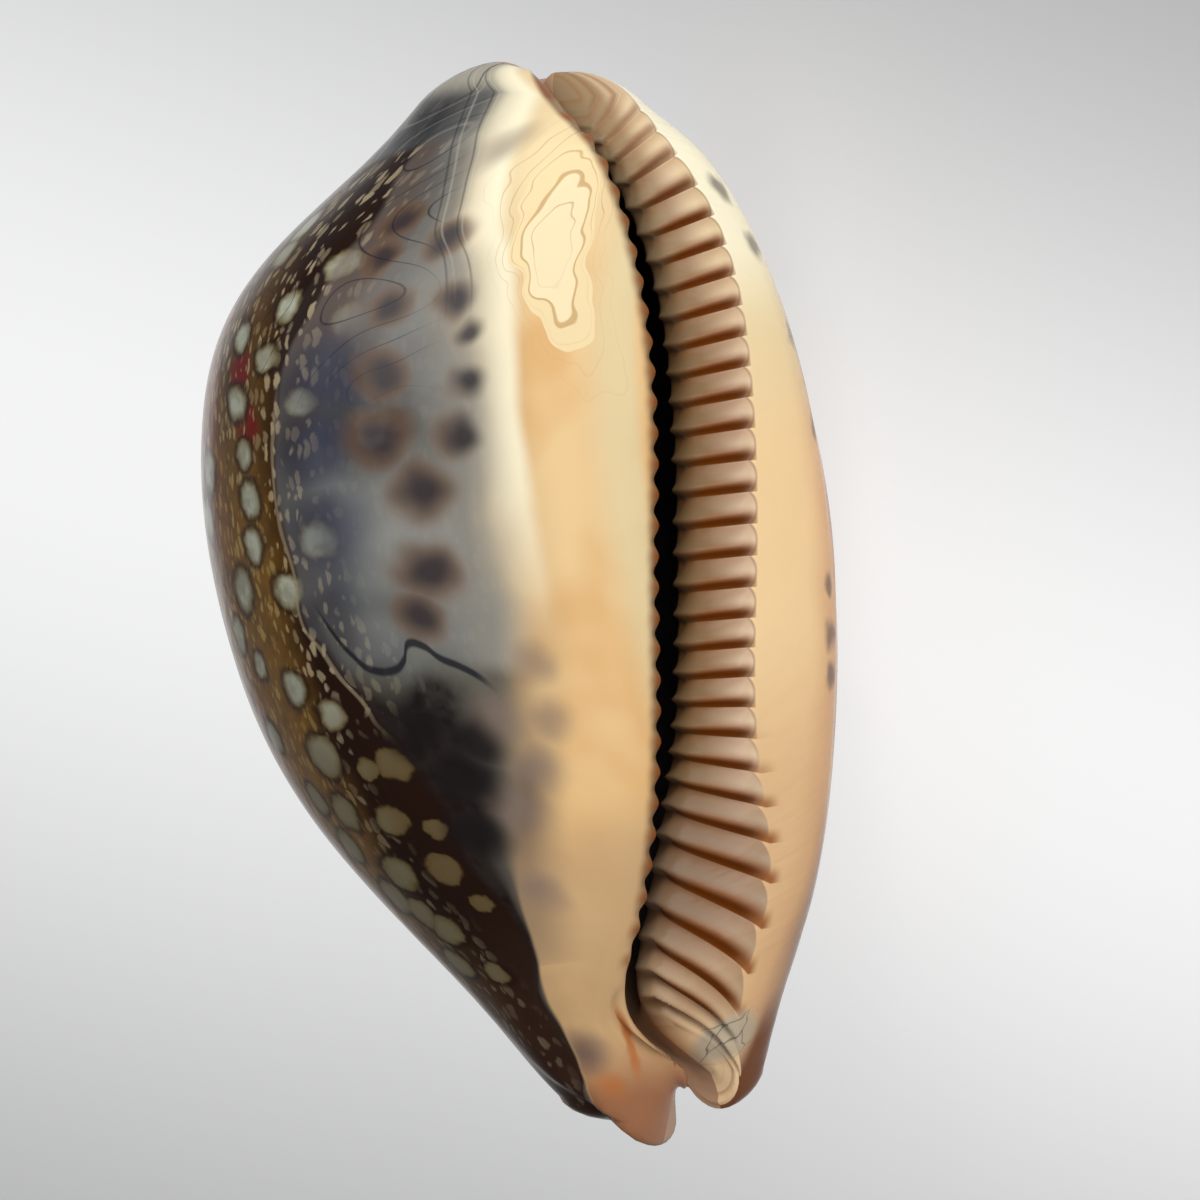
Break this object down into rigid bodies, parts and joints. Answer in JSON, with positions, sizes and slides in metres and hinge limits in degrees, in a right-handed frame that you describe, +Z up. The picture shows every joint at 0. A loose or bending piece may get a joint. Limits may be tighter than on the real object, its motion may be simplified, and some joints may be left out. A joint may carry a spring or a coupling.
{
  "type": "cowrie shell",
  "caption": "Glossy egg-shaped cowrie shell, hollow, with a long toothed slit down its pale base and a dark, spotted back.",
  "frame": {"origin": "on the ground, under the middle of the shell's box", "axes": "+Z up as the shell lies on the side of its outer lip, +X the way the toothed base faces, +Y towards the posterior canal, along the slit"},
  "size_m": [0.0316, 0.0634, 0.0366],
  "materials": {
    "cowrie_shell": "natural high gloss, like glazed porcelain"
  },
  "bodies": {
    "root": {"cowrie_shell": "cowrie_shell"}
  },
  "joints": []
}
